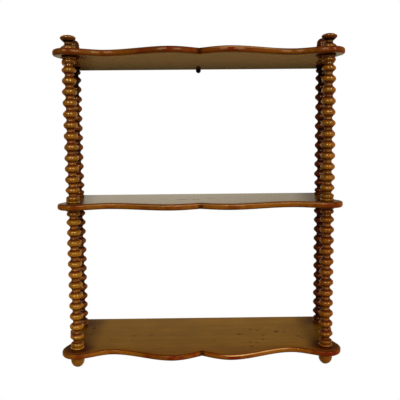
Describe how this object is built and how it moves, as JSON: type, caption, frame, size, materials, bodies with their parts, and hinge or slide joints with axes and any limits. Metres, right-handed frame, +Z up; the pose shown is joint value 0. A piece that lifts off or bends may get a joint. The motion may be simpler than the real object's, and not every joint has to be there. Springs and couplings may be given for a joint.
{
  "type": "wall shelf",
  "caption": "Wall shelf of serpentine boards with rounded edges on bead-turned columns, with finials above, dome feet below and a hanger plate at the back.",
  "frame": {"origin": "middle of the hanger plate's back face, on the wall plane, at half the top board's thickness", "axes": "+X to the right in the front view, +Y into the wall, +Z up"},
  "size_m": [0.58, 0.2337, 0.6736],
  "materials": {
    "board_wood": "glossy golden-brown varnish",
    "turned_wood": "glossy red-brown varnish, darker in the grooves",
    "blackened_steel": "blackened"
  },
  "bodies": {
    "root": {"top_shelf": "board_wood", "middle_shelf": "board_wood", "bottom_shelf": "board_wood", "upper_column_front_left": "turned_wood", "upper_column_front_right": "turned_wood", "upper_column_back_left": "turned_wood", "upper_column_back_right": "turned_wood", "lower_column_front_left": "turned_wood", "lower_column_front_right": "turned_wood", "lower_column_back_left": "turned_wood", "lower_column_back_right": "turned_wood", "finial_front_left": "turned_wood", "finial_front_right": "turned_wood", "finial_back_left": "turned_wood", "finial_back_right": "turned_wood", "foot_front_left": "turned_wood", "foot_front_right": "turned_wood", "foot_back_left": "turned_wood", "foot_back_right": "turned_wood", "hanger_plate": "blackened_steel", "hanger_screw_left": "blackened_steel", "hanger_screw_right": "blackened_steel"}
  },
  "joints": []
}
